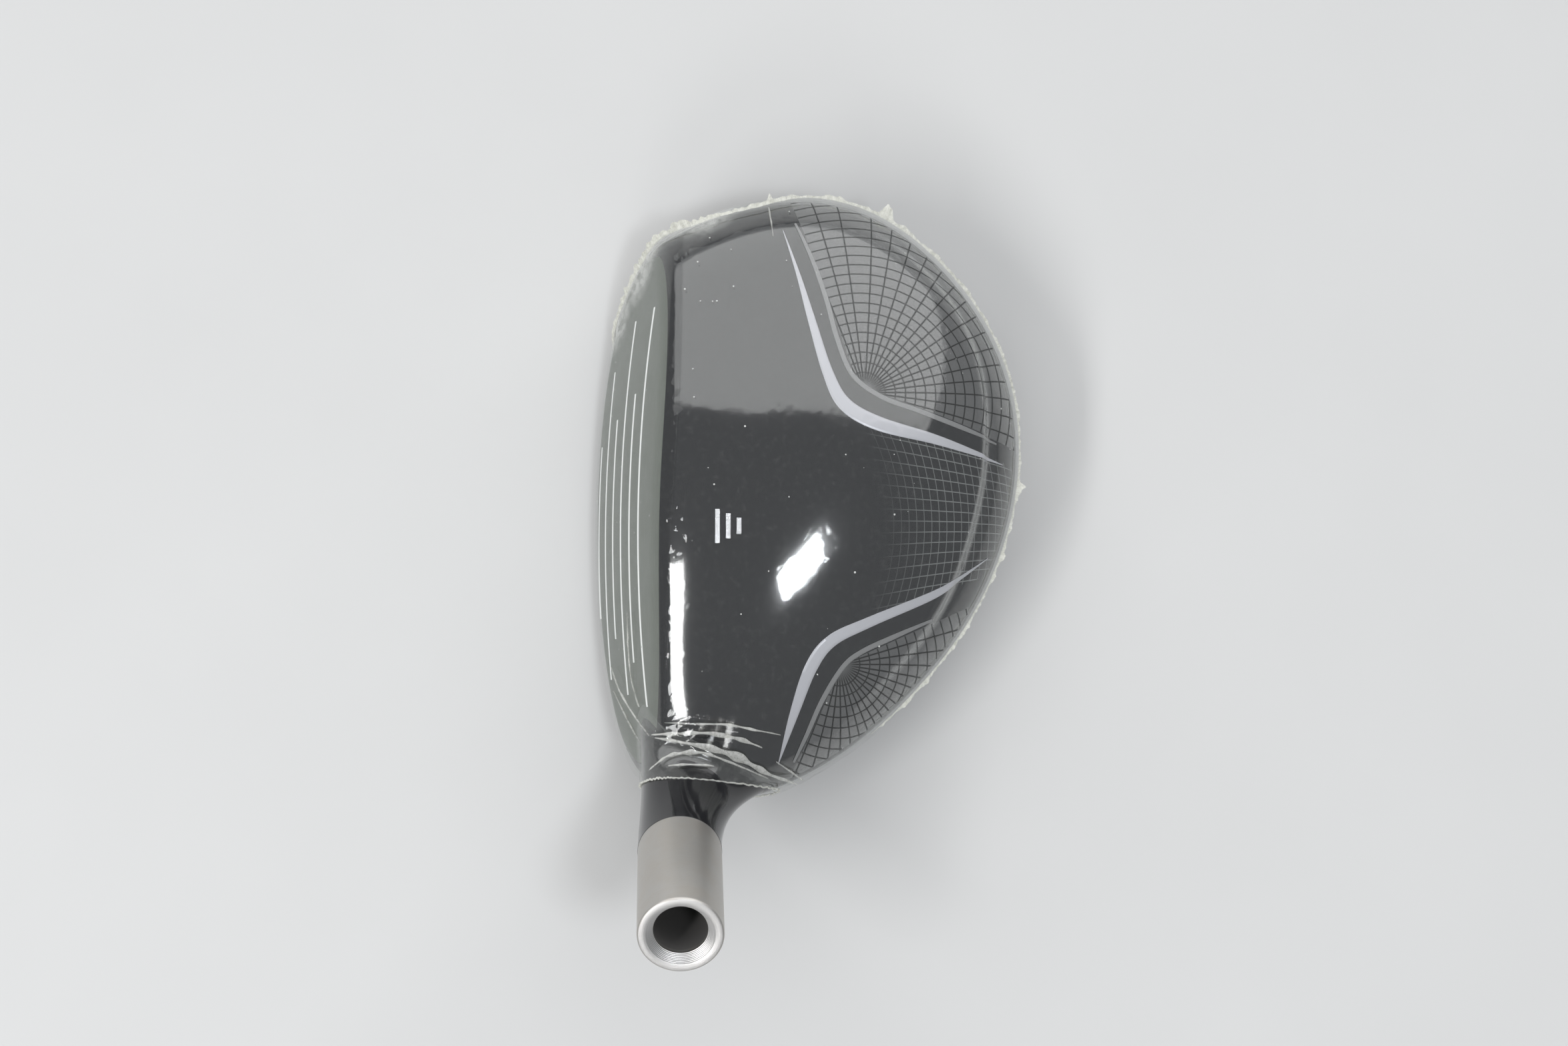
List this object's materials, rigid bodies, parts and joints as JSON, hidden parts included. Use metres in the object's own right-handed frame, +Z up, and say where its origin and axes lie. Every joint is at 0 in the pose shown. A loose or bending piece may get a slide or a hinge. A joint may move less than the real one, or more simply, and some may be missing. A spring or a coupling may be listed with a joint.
{
  "type": "fairway wood head",
  "caption": "Right-hand fairway wood head with satin face, gloss black striped crown, bare steel hosel with an open shaft bore, still in its clear shrink film.",
  "frame": {"origin": "middle of the bounding box, on the ground under the sole", "axes": "+Z up with the sole on the ground; +X from toe to heel; +Y from the face towards the back of the head, so the face looks along -Y"},
  "size_m": [0.1301, 0.0734, 0.0613],
  "materials": {
    "crown_black": "deep gloss black with a fine grey pin-line pattern",
    "body_black": "gloss black over cast steel",
    "face_steel": "satin blasted steel",
    "line_white": "white paint fill",
    "tube_steel": "satin steel, turned",
    "weld_steel": "rough weld bead",
    "braze": "bright braze line",
    "plug": "pale plug",
    "badge_steel": "brushed, clear coated",
    "weight_steel": "machined",
    "rubber": "matte",
    "cast_raw": "as cast",
    "glue": "set hot melt",
    "badge_silver": "raised bright metal",
    "stripe_silver": "silver paint",
    "outline_grey": "grey metallic paint",
    "film": "clear shrink film, glossy",
    "film_white": "puckered milky seam"
  },
  "bodies": {
    "root": {"body_casting": "body_black", "crown_shell": "crown_black", "crown_weld": "weld_steel", "face_plate": "face_steel", "face_weld": "weld_steel", "score_lines": "line_white", "hosel_tube": "tube_steel", "hosel_plug": "plug", "braze_ring": "braze", "sole_badge": "badge_steel", "weight_slug": "weight_steel", "weight_washer": "rubber", "toe_pad": "cast_raw", "sole_ribs": "cast_raw", "hot_melt": "glue", "alignment_bars": "badge_silver", "toe_stripe": "stripe_silver", "heel_stripe": "stripe_silver", "toe_outline": "outline_grey", "heel_outline": "outline_grey", "film_upper": "film", "film_lower": "film", "film_seam": "film_white", "film_collar": "film"}
  },
  "joints": []
}
